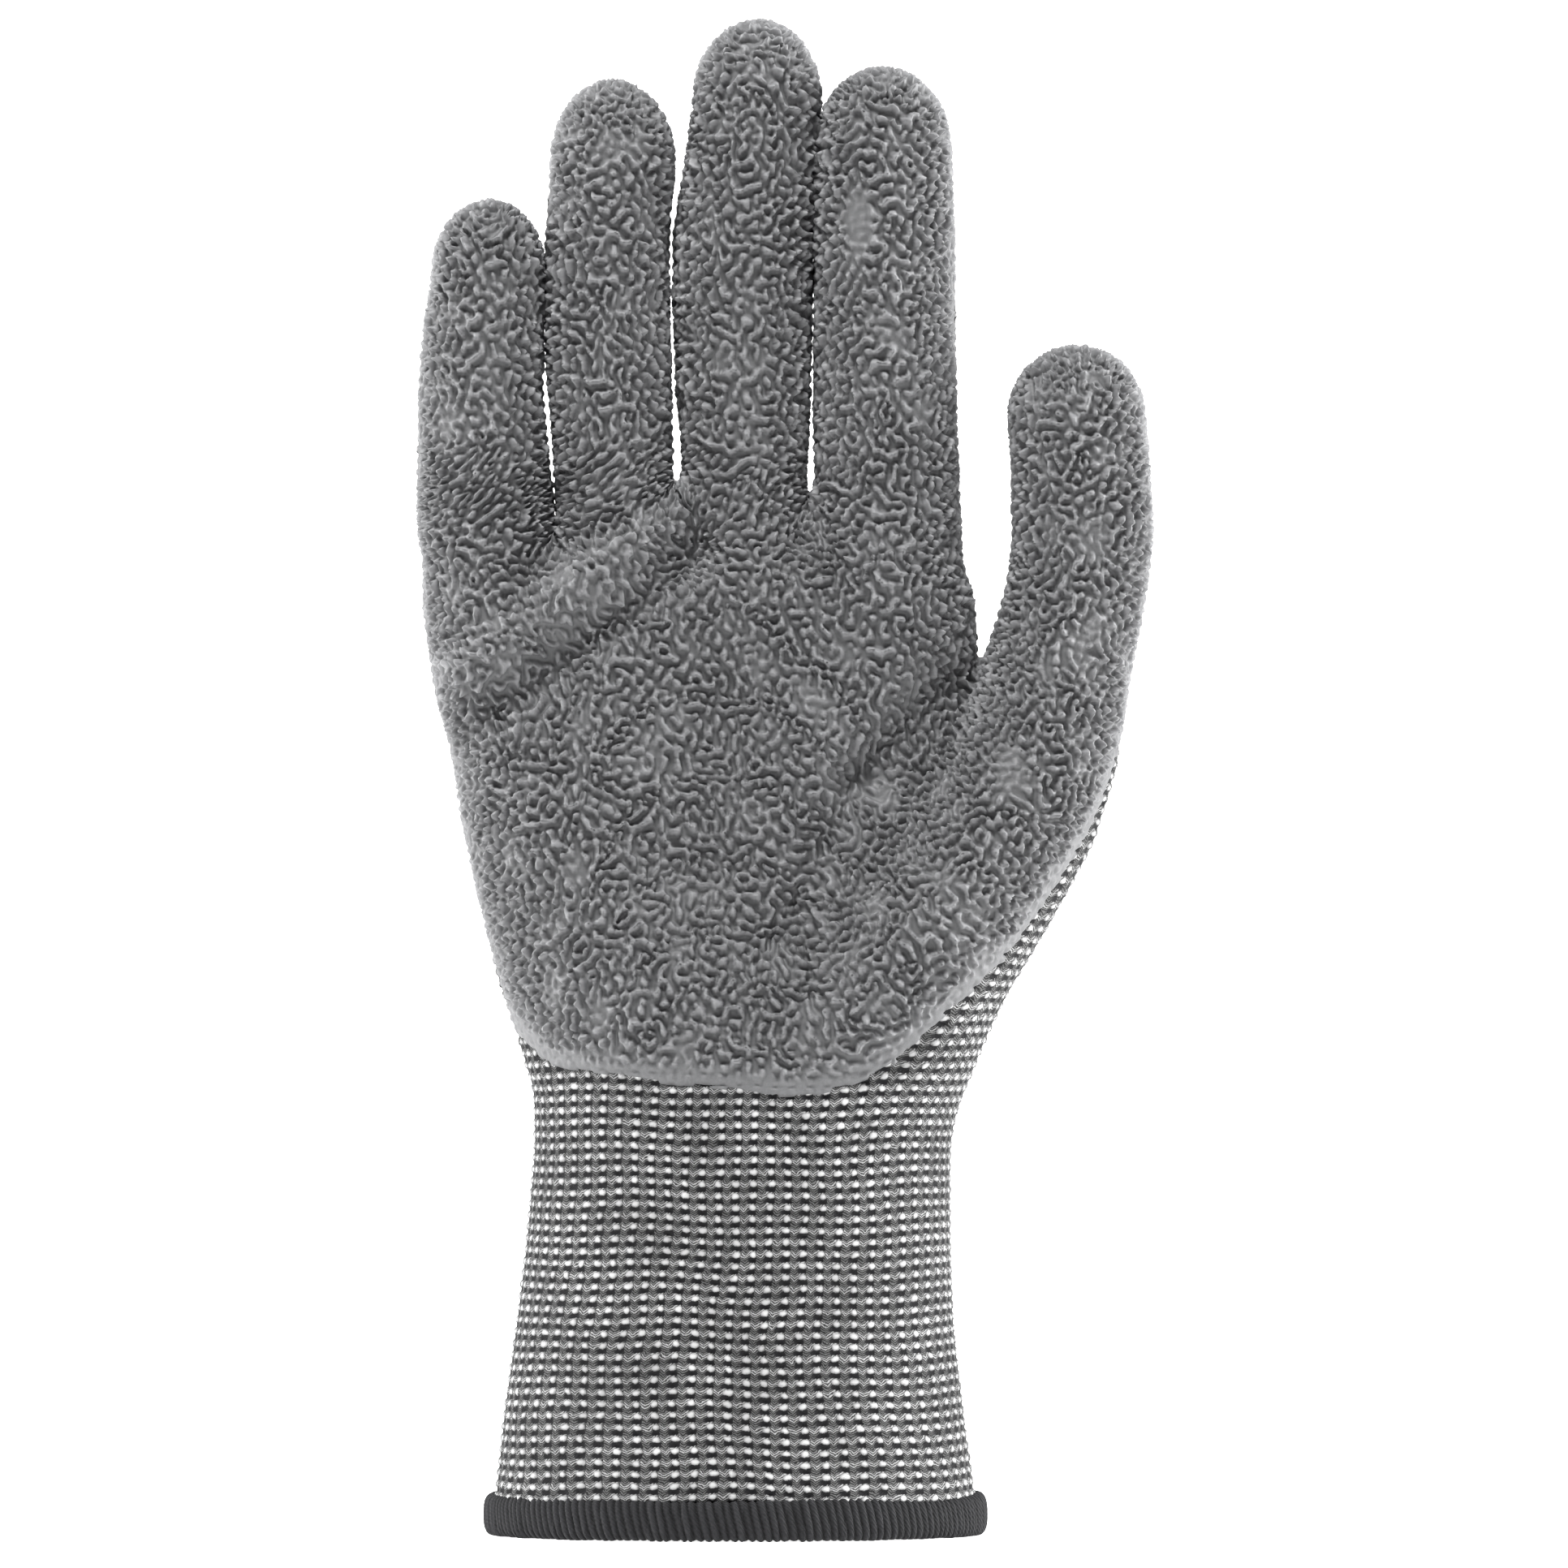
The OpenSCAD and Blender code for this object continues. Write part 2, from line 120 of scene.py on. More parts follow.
class Digit(Limb):
    """A finger or thumb. Each station is a share of its length, a sideways shift, and shares of
    its width and thickness; some have a shift in depth too. They start down inside the palm and
    end where the tip rounds off."""

    flat = 0.86             # a digit is this much thinner than it is wide

    def __init__(self, name, stations):
        low, high = box_mm(f"coat_{name}_lower")
        tip_low, tip_high = box_mm(f"coat_{name}_tip")
        knit_low, knit_high = box_mm(f"knit_{name}_tip")
        self.crotch = hinge_at[f"{name}_knuckle"][2] - CROTCH_BELOW
        self.tip = tip_high[2] - SKIN_IN
        self.x = (tip_low[0] + tip_high[0]) / 2
        self.y = (knit_low[1] + knit_high[1]) / 2
        self.r = (high[0] - low[0]) / 2 / COAT_ROUND
        if name == "thumb":
            self.r = (tip_high[0] - tip_low[0]) / 2 / COAT_ROUND
        rows = []
        for up, aside, wide, thick, *deeper in stations:
            rows.append([
                self.crotch + up * (self.tip - self.crotch),
                self.x + aside,
                self.r * wide - SKIN_IN,
                self.y + sum(deeper),
                self.r * self.flat * thick - SKIN_IN,
            ])
        super().__init__(rows, self.tip)


digits = {
    "index": Digit("index", [
        (-0.46, 0.8, 0.82, 1.10), (-0.23, 1.2, 0.98, 1.2), (-0.09, 0.7, 1.02, 1.12),
        (0.03, 0.2, 1.01, 1.04), (0.26, -0.1, 1.0, 1.0), (0.6, -0.2, 0.99, 0.97),
        (0.81, -0.4, 0.95, 0.93)]),
    "middle": Digit("middle", [
        (-0.4, 0.3, 0.75, 1.1), (-0.2, 0.3, 0.86, 1.2), (-0.05, 0.3, 0.88, 1.08), (0.05, 0.3, 0.88, 1.0),
        (0.2, 0.1, 0.95, 1.0), (0.42, 0, 1.0, 0.98), (0.55, 0.2, 1.0, 0.97), (0.68, 1.4, 0.955, 0.95),
        (0.83, 2.5, 0.89, 0.9)]),
    "ring": Digit("ring", [
        (-0.45, -0.5, 0.85, 1.15), (-0.2, 0.6, 0.92, 1.25), (-0.06, 1.1, 0.91, 1.12),
        (0.08, 0.8, 0.94, 1.02), (0.35, -0.1, 0.985, 0.98), (0.6, -0.1, 0.97, 0.96),
        (0.8, 0.9, 0.955, 0.93)]),
    "little": Digit("little", [
        (-0.9, 11, 0.6, 1.0), (-0.5, 3.4, 0.95, 1.3), (-0.2, 2.0, 1.02, 1.2), (0, 1.3, 1.12, 1.08),
        (0.15, 0.6, 1.07, 1.0), (0.45, 0, 0.985, 0.97), (0.62, 0.7, 0.96, 0.95), (0.77, 1.5, 0.9, 0.92)]),
    "thumb": Digit("thumb", [
        (-1.42, -40, 0.8, 1.2, 2.0), (-1.22, -35, 1.25, 1.65, 1.0),
        (-1.02, -31.3, 1.50, 1.87, -1.0), (-0.78, -23.3, 1.50, 1.72, -2.2),
        (-0.52, -15.3, 1.478, 1.54, -2.5), (-0.28, -8.8, 1.295, 1.335, -2), (-0.02, -4.5, 1.095, 1.15, -1),
        (0.148, -2, 1.035, 1.07, -0.5), (0.296, -0.2, 1.0, 1.02, -0.2), (0.444, 0.4, 1.0, 0.99),
        (0.63, 0.1, 0.987, 0.97), (0.787, -0.6, 0.957, 0.94)]),
}

# The palm and cuff: height above the wrist's crease, left and right edge, half thickness to
# the front and to the back
palm_edges = np.array([
    [-70, -47.3, 31.1, 25.2, 25.2],
    [-53, -47.0, 30.9, 25.0, 25.0],
    [-41, -45.8, 29.2, 24.2, 24.2],
    [-25, -43.6, 27.4, 23.2, 23.2],
    [-12, -42.0, 26.9, 22.6, 22.6],
    [4, -40.6, 26.9, 22.4, 22.4],
    [14, -40.8, 28.6, 22.0, 21.6],
    [24, -44.4, 30.0, 21.0, 20.4],
    [34, -47.4, 31.0, 19.4, 18.6],
    [47, -50.6, 31.4, 17.6, 17.4],
    [60, -53.2, 31.8, 16.2, 16.6],
    [74, -55.4, 32.0, 14.8, 15.4],
    [86, -57.0, 31.6, 13.4, 14.0],
    [93, -57.8, 31.0, 12.6, 13.2],
])
PALM_TOP_BELOW = 4          # the palm's top lies this far below the little finger's crotch
PALM_SQUARE = 2.25          # 2 is an oval, and more is squarer
palm_rows = []
for z, left, right, front, back in palm_edges:
    palm_rows.append([
        z + wrist_z,
        (left + right) / 2,
        (right - left) / 2 - SKIN_IN,
        (back - front) / 2,
        (front + back) / 2 - SKIN_IN,
    ])
palm = Limb(palm_rows, digits["little"].crotch - PALM_TOP_BELOW, PALM_SQUARE)


LOW_SIDE_SHIFT = 2.2        # a gap starts this far nearer the higher of its two fingers


def crotch_between(a, b):
    """Where two neighbouring fingers part: the middle of the gap, and the lower crotch."""
    left, right = sorted([digits[a], digits[b]], key=lambda d: d.x)
    x = (left.x + left.r + right.x - right.r) / 2
    if left.crotch < right.crotch:
        x = x + LOW_SIDE_SHIFT
    return np.array([x, (left.y + right.y) / 2, min(left.crotch, right.crotch)])


gaps = [crotch_between(*pair) for pair in zip(FINGERS, FINGERS[1:])]
PART = 4.0                  # neighbours are drawn this far apart, then closed up again
PART_FROM = -6              # and they part between these heights about their crotch
PART_TO = 8


def parted(name, z):
    """How far a finger is held towards the little finger's side while the skin is drawn."""
    total = 0 * z
    for k in range(FINGERS.index(name)):
        total = total - PART * ease(z, gaps[k][2] + PART_FROM, gaps[k][2] + PART_TO)
    return total


WEB = np.array([5, 8, 8])   # half the size of the web between two fingers
WEB_BELOW = 9               # its middle lies this far below the crotch
WEB_BLEND = 3.0             # how softly it runs into the fingers
PALM_BLEND = 5.0            # how softly the fingers run into the palm
BALL_BLEND = 8.0            # how softly the ball of the thumb runs into the palm
THUMB_BLEND = 2.0           # and the thumb's root above it
thumb_parts = (120, 140)    # the thumb leaves its ball between these heights


def skin_distance(x, y, z):
    """Roughly how far a point is outside the glove, with the fingers held apart."""
    fingers = None
    for name in FINGERS:
        gap = digits[name].distance(x - parted(name, z), y, z)
        fingers = gap if fingers is None else np.minimum(fingers, gap)
    for at in gaps:
        high = z - at[2] + WEB_BELOW
        web = np.sqrt(((x - at[0]) / WEB[0]) ** 2 + ((y - at[1]) / WEB[1]) ** 2 + (high / WEB[2]) ** 2)
        fingers = melt(fingers, (web - 1) * WEB[0], WEB_BLEND)
    hand = melt(palm.distance(x, y, z), fingers, PALM_BLEND)
    blend = BALL_BLEND - (BALL_BLEND - THUMB_BLEND) * ease(z, *thumb_parts)
    return melt(hand, digits["thumb"].distance(x, y, z), blend)


STEP = 1.4                  # spacing of the grid that the skin is drawn on
grid_low = np.array([-76.0, -34.0, -8.0])
grid_count = np.array([112, 48, 188])
grid_lines = [grid_low[k] + STEP * np.arange(grid_count[k]) for k in range(3)]
gx, gy, gz = np.meshgrid(*grid_lines, indexing="ij")
OUTSIDE = 3.0               # what the grid holds where nothing is near
grid = openvdb.FloatGrid(OUTSIDE)
grid.copyFromArray(skin_distance(gx, gy, gz).astype(np.float64))
rough_points, rough_quads = grid.convertToQuads(isovalue=0.0)
rough_points = grid_low + STEP * np.asarray(rough_points, dtype=float)
rough_quads = np.asarray(rough_quads)


def finer(points, quads, levels):
    """The rough skin divided smoothly, as points and four-cornered faces."""
    mesh = bpy.data.meshes.new("rough_skin")
    mesh.from_pydata(points, [], quads)
    holder = bpy.data.objects.new("rough_skin", mesh)
    bpy.context.scene.collection.objects.link(holder)
    holder.modifiers.new("smooth", "SUBSURF").levels = levels
    shown = holder.evaluated_get(bpy.context.evaluated_depsgraph_get())
    fine = shown.to_mesh()
    p = np.empty(len(fine.vertices) * 3)
    fine.vertices.foreach_get("co", p)
    q = np.empty(len(fine.loops), dtype=np.int32)
    fine.loops.foreach_get("vertex_index", q)
    shown.to_mesh_clear()
    bpy.data.objects.remove(holder)
    bpy.data.meshes.remove(mesh)
    return p.reshape(-1, 3), q.reshape(-1, 4)


def face_normals(points, quads):
    a, b, c, d = (points[quads[:, k]] for k in range(4))
    return np.cross(c - a, d - b)


def point_normals(points, quads):
    across = face_normals(points, quads)
    total = np.zeros_like(points)
    for k in range(3):
        for corner in range(4):
            total[:, k] += np.bincount(quads[:, corner], across[:, k], len(points))
    return total / np.maximum(np.linalg.norm(total, axis=1, keepdims=True), 1e-12)


def edges_of(quads):
    """The two ends of every edge, each edge once."""
    ends = np.concatenate([quads[:, [k, (k + 1) % 4]] for k in range(4)])
    return np.unique(np.sort(ends, axis=1), axis=0)


# The rough faces even out, and stay on the skin
EVENED = 6                  # this many times
EVEN_SHARE = 0.6            # and this share of the way to the middle of their neighbours
ends = edges_of(rough_quads)
met = np.bincount(ends.ravel(), minlength=len(rough_points))
for _ in range(EVENED):
    total = np.zeros_like(rough_points)
    for k in range(3):
        total[:, k] = np.bincount(ends[:, 0], rough_points[ends[:, 1], k], len(met))
        total[:, k] += np.bincount(ends[:, 1], rough_points[ends[:, 0], k], len(met))
    rough_points = (1 - EVEN_SHARE) * rough_points + EVEN_SHARE * total / met[:, None]
    facing = point_normals(rough_points, rough_quads)
    if (facing * (rough_points - rough_points.mean(axis=0))).sum() < 0:
        facing = -facing
    rough_points -= facing * skin_distance(*rough_points.T)[:, None]
skin, quads = finer(rough_points, rough_quads, 2)
middle = skin.mean(axis=0)
if (face_normals(skin, quads) * (skin[quads[:, 0]] - middle)).sum() < 0:
    quads = quads[:, ::-1].copy()

# Each point of the skin belongs to the digit that it is nearest to
x, y, z = skin.T
away = np.stack([digits[f].distance(x - parted(f, z), y, z) for f in FINGERS])
nearest = np.argmin(np.vstack([away, digits["thumb"].distance(x, y, z)[None]]), axis=0)

# The fingers close up again, so that neighbours lie side by side
NEAR = 0.8                  # a point moves with the fingers that are this near
nearness = np.exp(-(away - away.min(0)) / NEAR)
aside = np.stack([parted(f, z) for f in FINGERS])
skin[:, 0] -= (nearness * aside).sum(0) / nearness.sum(0)
x, y, z = skin.T

# Pads and folds of the filled palm: where from, where to, how wide, and how far out or in
folds = [
    ((-52, 143), (-16, 170), 3.4, 2.4),
    ((-47, 136), (-12, 163), 3.2, -1.9),
    ((27, 141), (13, 126), 3.8, -2.2),
    ((13, 126), (-2, 99), 4.0, -2.3),
    ((3, 104), (5, 90), 2.4, -1.5),
    ((-9, 137), (-12, 116), 14.0, -3.2),
    ((-38, 120), (-30, 92), 11.0, 2.2),
    ((24, 106), (12, 92), 10.0, 1.8),
    ((-8, 162), (16, 160), 5.0, 1.4),
    ((-44, 128), (-30, 124), 3.0, -0.8),
]
out = point_normals(skin, quads)
on_palm = np.clip(-1.6 * out[:, 1], 0, 1)       # 1 where the skin faces forward, 0 at the side
push = np.zeros(len(skin))
for first, last, wide, rise in folds:
    run = np.array(last, float) - first
    t = np.clip(((x - first[0]) * run[0] + (z - first[1]) * run[1]) / (run @ run), 0, 1)
    away = np.hypot(x - first[0] - t * run[0], z - first[1] - t * run[1])
    push += rise * np.exp(-(away / wide) ** 2) * on_palm
skin += out * push[:, None]
out = point_normals(skin, quads)
x, y, z = skin.T


# ---------------------------------------------------------------------------------------------
# Knitted liner, the one shell that everything else is on: cut resistant yarn, marled from a
# thick pale strand and a dark one, knitted seamless. Its rows of loops run round the glove.
# The cuff is knitted on.
# ---------------------------------------------------------------------------------------------
WALE = 2.95                 # width of one repeat of the loops
COURSE = 1.91               # height of one row
KNIT_IN = 0.5               # the loops' ground lies this far inside the skin under the coat
KNIT_RISE = 0.8             # and this much further out where there is no coat


def around(limb, x, y, z):
    """How far round a limb a point is from the middle of its back, and half the way round."""
    on = np.clip(z, limb.z[0], limb.z[-1])
    mid, half, deep, thick = (np.interp(on, limb.z, run) for run in limb.runs)
    turn = np.arctan2((x - mid) / half, (y - deep) / thick)
    steps = 24              # the way round is added up in this many parts
    total, far = 0, 0
    for k in range(steps):
        lean = (k + 0.5) * np.pi / steps
        piece = np.hypot(half * np.cos(lean), thick * np.sin(lean)) * np.pi / steps
        far = far + piece * np.clip(np.abs(turn) * steps / np.pi - k, 0, 1)
        total = total + piece
    return np.sign(turn) * far, total


half_wales = 33             # repeats of the loops, half the way round the palm
PALM_HALF_ROUND = 98.0      # about how far that is at the knuckles
palm_far, palm_half = around(palm, x, y, z)
wale = palm_far / palm_half * half_wales
for k, name in enumerate(DIGITS):
    digit = digits[name]
    root = digit.x * half_wales / PALM_HALF_ROUND
    far, _ = around(digit, x, y, z)
    rise = 4 if name == "thumb" else 8          # half the height that the change of knitting takes
    mine = (nearest == k) * ease(z, digit.crotch - rise, digit.crotch + rise)
    wale = wale + (root + far / WALE - wale) * mine

# A knitted row is never quite straight: long and short waves, as shares of a repeat
course = z / COURSE + 0.16 * np.sin(x / 9.0 + z / 40) + 0.10 * np.sin(x / 3.7 + z / 11.0)
wale = wale + 0.10 * np.sin(z / 6.3) + 0.06 * np.sin(z / 2.9 + x / 5.0)


def loops(wale, course):
    """Height of the knit over one repeat: a round loop with a hole below it, then a chevron."""
    a, b = wale % 1, course % 1
    loop = np.clip(1 - ((a - 0.25) / 0.26) ** 2 - ((b - 0.66) / 0.34) ** 2, 0, 1)
    hole = np.clip(1 - ((a - 0.25) / 0.26) ** 2 - ((b - 0.17) / 0.24) ** 2, 0, 1)
    beside = np.abs(a - 0.75) / 0.25
    band = np.clip(1 - ((b - 0.62 - 0.12 * beside) / 0.36) ** 2, 0, 1) * np.clip(1.3 - beside, 0, 1)
    return 0.34 * np.sqrt(loop) + 0.20 * band - 0.22 * np.sqrt(hole)


relief = loops(wale, course)
sides = edges_of(quads)
end_a, end_b = sides.T
links = np.bincount(end_a, minlength=len(skin)) + np.bincount(end_b, minlength=len(skin))


def spread(values, times):
    """The values, evened out with their neighbours' a number of times."""
    for _ in range(times):
        beside = np.bincount(end_a, values[end_b], len(skin))
        beside += np.bincount(end_b, values[end_a], len(skin))
        values = 0.5 * values + 0.5 * beside / links
    return values


# The coat covers the palm side, the sides of the digits and their tips. Above 0 is coated.
# The lower edge is a curve across the heel of the palm, as distance across and height.
coat_edge = np.array([
    [-60, 96], [-44.4, 83], [-39.9, 78.5], [-33.8, 76.6], [-21.5, 75.1], [-9.2, 74.0], [-3.1, 72.8],
    [6.1, 73.3], [11.7, 75.1], [17.3, 77.2], [24, 83.5], [28.3, 87.8], [32.8, 91.6], [37.1, 95.8],
    [40.6, 100.4], [43.2, 105], [46.7, 109.9], [49.8, 114.8], [52, 119.5], [55.9, 131], [60, 150],
])
edge_x = np.arange(-70, 71, 1.0)
edge_z = np.interp(edge_x, coat_edge[:, 0], coat_edge[:, 1])
edge_blur = np.hanning(9)[1:-1] / np.hanning(9).sum()
edge_z = np.convolve(np.pad(edge_z, 3, "edge"), edge_blur, "valid")
SLOPE = 0.8                 # the edge slopes, so it is nearer than straight down
above = (z - np.interp(x, edge_x, edge_z)) * SLOPE

# At the sides the coat ends a little behind the middle of a digit, and it covers the tip whole
COAT_BACK = 1.5             # how far behind a digit's middle it ends
TIP_COATED = (19, 7)        # it closes over the back between these distances from the tip
TIP_PAST = 6                # and reaches this far past the digit there
HAND_GIVES_WAY = (12, 4)    # this far below the palm's top, the hand's edge turns into the digits'
SMOOTHED = 200              # the edge is evened out this many times, so that it has no steps
palm_top = digits["little"].crotch
wrap = np.zeros(len(skin))
for k, name in enumerate(DIGITS):
    digit = digits[name]
    over = (digit.r + TIP_PAST) * ease(z, digit.tip - TIP_COATED[0], digit.tip - TIP_COATED[1])
    wrap = np.where(nearest == k, digit.y + COAT_BACK + over, wrap)
hand_wrap = 1.0 + 1.5 * ease(z, 90, 150)
hand_share = 1 - ease(z, palm_top - HAND_GIVES_WAY[0], palm_top - HAND_GIVES_WAY[1])
hand_share = hand_share * (nearest != DIGITS.index("thumb"))
wrap = wrap + (hand_wrap - wrap) * hand_share
wrap = spread(wrap, SMOOTHED)
wobble = 1.3 * np.sin(z / 7.0 + x / 23.0) + 0.7 * np.sin(z / 2.6 + x / 9.0)
coated = np.minimum(wrap + wobble - y, above)

# The wet latex stops loop by loop, so each loop is a little more or less than its neighbours
LOOP_CHANCE = 0.9
cell = np.sin(np.floor(wale) * 12.9898 + np.floor(course) * 78.233) * 43758.5453
coated = coated + LOOP_CHANCE * (cell % 1 - 0.5)
knit_skin = skin + out * (relief - KNIT_IN + KNIT_RISE * ease(-coated, -1.0, 2.5))[:, None]
knit_out = point_normals(knit_skin, quads)


class Wire:
    """A socket of a material's nodes. Sums on a wire add the nodes that work them out."""

    def __init__(self, tree, socket=None):
        self.tree = tree
        self.socket = socket

    def node(self, kind, settings, inputs, out=0):
        """A node of any kind: its settings, then what its sockets hold or are fed from."""
        made = self.tree.nodes.new("ShaderNode" + kind)
        for name, value in settings.items():
            setattr(made, name, value)
        for name, value in inputs.items():
            if isinstance(value, Wire):
                self.tree.links.new(value.socket, made.inputs[name])
            else:
                made.inputs[name].default_value = value
        return Wire(self.tree, made.outputs[out])

    def sum(self, how, *others):
        return self.node("Math", {"operation": how}, dict(enumerate([self, *others])))

    def __add__(self, other):
        return self.sum("ADD", other)

    def __sub__(self, other):
        return self.sum("SUBTRACT", other)

    def __mul__(self, other):
        return self.sum("MULTIPLY", other)

    def __truediv__(self, other):
        return self.sum("DIVIDE", other)

    def __pow__(self, other):
        return self.sum("POWER", other)

    def __abs__(self):
        return self.sum("ABSOLUTE")

    def part(self):
        return self.sum("FRACT")

    def whole(self):
        return self.sum("FLOOR")

    def step(self, start, end, low=0.0, high=1.0):
        """Rises smoothly from low at start to high at end."""
        return self.node("MapRange", {"interpolation_type": "SMOOTHSTEP"},
                         {0: self, 1: start, 2: end, 3: low, 4: high})

    def noise(self, at, scale, detail=2.0):
        return self.node("TexNoise", {}, {"Vector": at, "Scale": scale, "Detail": detail})

    def mix(self, amount, other):
        """This colour or value, giving way to another by an amount from 0 to 1."""
        return self.node("Mix", {"data_type": "RGBA"}, {"Factor": amount, 6: self, 7: other}, 2)


def start_material(name):
    made = bpy.data.materials.new(name)
    made.use_nodes = True
    return made, Wire(made.node_tree)


def finish_material(made, inputs):
    shader = made.node_tree.nodes["Principled BSDF"]
    for name, value in inputs.items():
        if isinstance(value, Wire):
            made.node_tree.links.new(value.socket, shader.inputs[name])
        else:
            shader.inputs[name].default_value = value
    return made


knit_cloth, start = start_material("marled_knit")
cloth = start.node("Attribute", {"attribute_name": "cloth"}, {}, "Vector")
across = start.node("Attribute", {"attribute_name": "wale"}, {}, "Fac")
up = start.node("Attribute", {"attribute_name": "course"}, {}, "Fac")
sway = start.noise(cloth, 0.45, 3.0) - 0.5
across = across + sway * 0.5
up = up + (start.noise(cloth, 0.8, 2.0) - 0.5) * 0.35
at_cell = start.node("CombineXYZ", {}, {0: across.whole(), 1: up.whole()})
chance = start.node("TexWhiteNoise", {"noise_dimensions": "2D"}, {"Vector": at_cell})
a = across.part()
b = up.part()
fibres = start.noise(cloth, 5.5, 3.0)
loop_away = ((a - 0.25) / 0.24) ** 2.0 + ((b - 0.67) / 0.28) ** 2.0 + (fibres - 0.5) * 0.8
loop = loop_away.step(1.15, 0.7)
hole_away = ((a - 0.25) / 0.36) ** 2.0 + ((b - 0.17) / 0.34) ** 2.0 + (fibres - 0.5)
hole = hole_away.step(1.35, 0.55)
beside = abs(a - 0.75) * 4.0
level = b - beside * 0.26 + (start.noise(cloth, 2.5) - 0.5) * 0.16
strands = (level * 32.0).sum("COSINE") * 0.5 + 0.5
upper = level.step(0.20, 0.36) * level.step(0.80, 0.66)
strand_shade = (strands ** 1.5) * (upper * 0.50 + 0.22) + upper * 0.03 + 0.006
# Each loop is the pale strand, painted lighter in its middle and darker towards its edges: painted shading
# of a round loop
pale_loop_painted_shading = loop_away.step(1.0, 0.0, 0.25, 0.72) * (fibres * 0.3 + 0.85)
# The holes between the loops are painted near black: painted shade in the hollows
shade = (strand_shade * 0.42).mix(hole, (0.003, 0.003, 0.004, 1)).mix(loop, pale_loop_painted_shading * 0.60)
patches = start.noise(cloth, 0.09, 2.0).step(0.35, 0.65, 0.84, 1.08)
shade = shade.node("VectorMath", {"operation": "SCALE"},
                   {0: shade, "Scale": patches * (chance * 0.22 + 0.86)})
height = loop + strands * 0.35 + upper * 0.3 - hole * 0.9 + fibres * 0.25
knit_bump = start.node("Bump", {}, {"Strength": 0.55, "Distance": 0.00035, "Height": height})
finish_material(knit_cloth, {"Base Color": shade, "Roughness": 0.82, "Specular IOR Level": 0.3,
                             "Normal": knit_bump})


def cut(name, points, normals, keep, material, layer):
    """A piece of the skin as an object of its own, in metres, with the whole skin's shading."""
    cells = quads[keep]
    used, cells = np.unique(cells, return_inverse=True)
    cells = cells.reshape(-1, 4)
    mesh = bpy.data.meshes.new(name)
    mesh.vertices.add(len(used))
    mesh.vertices.foreach_set("co", (points[used] / MM).astype(np.float32).ravel())
    mesh.loops.add(cells.size)
    mesh.loops.foreach_set("vertex_index", cells.astype(np.int32).ravel())
    mesh.polygons.add(len(cells))
    mesh.polygons.foreach_set("loop_start", np.arange(0, cells.size, 4, dtype=np.int32))
    mesh.update()
    for label, values in layer.items():
        if values.ndim == 2:
            mesh.attributes.new(label, "FLOAT_VECTOR", "POINT").data.foreach_set(
                "vector", values[used].astype(np.float32).ravel())
        else:
            # The wales are counted round the glove, and a face where the count starts again is
            # given numbers that run on.
            corner = values[used][cells]
            turn = 2 * half_wales if label == "wale" else 1e9
            corner = np.where(corner.max(1, keepdims=True) - corner > turn / 2, corner + turn, corner)
            mesh.attributes.new(label, "FLOAT", "CORNER").data.foreach_set(
                "value", corner.astype(np.float32).ravel())
    mesh.shade_smooth()
    mesh.normals_split_custom_set_from_vertices(normals[used].astype(np.float32))
    mesh.materials.append(material)
    piece = bpy.data.objects.new(name, mesh)
    bpy.context.scene.collection.objects.link(piece)
    return piece


cell_z = z[quads[:, 0]]
cell_near = nearest[quads[:, 0]]
cell_coat = coated[quads].max(1)


def web_top(name):
    """How high the skin still joins a digit to its neighbours."""
    k = DIGITS.index(name)
    mine = nearest[quads] == k
    shared = mine.any(1) & ~mine.all(1)
    return z[quads[shared]].max()


ROOT_CLEAR = 0.3            # a digit's first piece starts this far above the web
CUT_THUMB = 0.48            # a piece ends, and the next one starts, this share of the way
CUT_LOWER = 0.62            # from one hinge to the next
CUT_MID = 0.42
END_RUN = 8                 # the last station lies this far above its hinge
THUMB_END_RUN = 10


def stations(name):
    """Where a digit's pieces are cut, from its root to a little past its last hinge."""
    root = web_top(name) + ROOT_CLEAR
    knuckle = hinge_at[f"{name}_knuckle"][2]
    if name == "thumb":
        end = hinge_at["thumb_end_joint"][2]
        return [root, knuckle + (end - knuckle) * CUT_THUMB, end + THUMB_END_RUN]
    middle = hinge_at[f"{name}_mid_joint"][2]
    end = hinge_at[f"{name}_end_joint"][2]
    lower_end = knuckle + (middle - knuckle) * CUT_LOWER
    mid_end = middle + (end - middle) * CUT_MID
    return [root, lower_end, mid_end, end + END_RUN]


cuts = {name: stations(name) for name in DIGITS}
on_digit = np.zeros(len(quads), int) - 1
for k, name in enumerate(DIGITS):
    on_digit[(cell_near == k) & (cell_z > cuts[name][0])] = k

knit_layer = {"cloth": skin, "wale": wale, "course": course}
UNDER_COAT = 3.2            # the knit is drawn on this far under the coat's edge
knitted = cell_coat < UNDER_COAT
CUFF_TOP = wrist_z - 16     # the wrist lies between these heights
WRIST_TOP = wrist_z + 16
LINER_TOP = WRIST_TOP + 4


def point(z_mm):
    return (0, 0, z_mm / MM)


def along_digits(kind, covers, points, normals, material, layer):
    """One piece for each length of each digit."""
    for k, name in enumerate(DIGITS):
        ends = cuts[name]
        steps = ["lower", "tip"] if name == "thumb" else ["lower", "mid", "tip"]
        for j, step in enumerate(steps):
            keep = covers & (on_digit == k)
            if j > 0:
                keep = keep & (cell_z > ends[j])
            if j + 1 < len(steps):
                keep = keep & (cell_z <= ends[j + 1])
            piece = cut(f"{kind}_{name}_{step}_cloth", points, normals, keep, material, layer)
            before = "hand" if j == 0 else f"{name}_{steps[j - 1]}"
            point(ends[j])
            point(ends[j + 1])
            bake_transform(piece)
            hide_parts(f"{kind}_{name}_{step}")


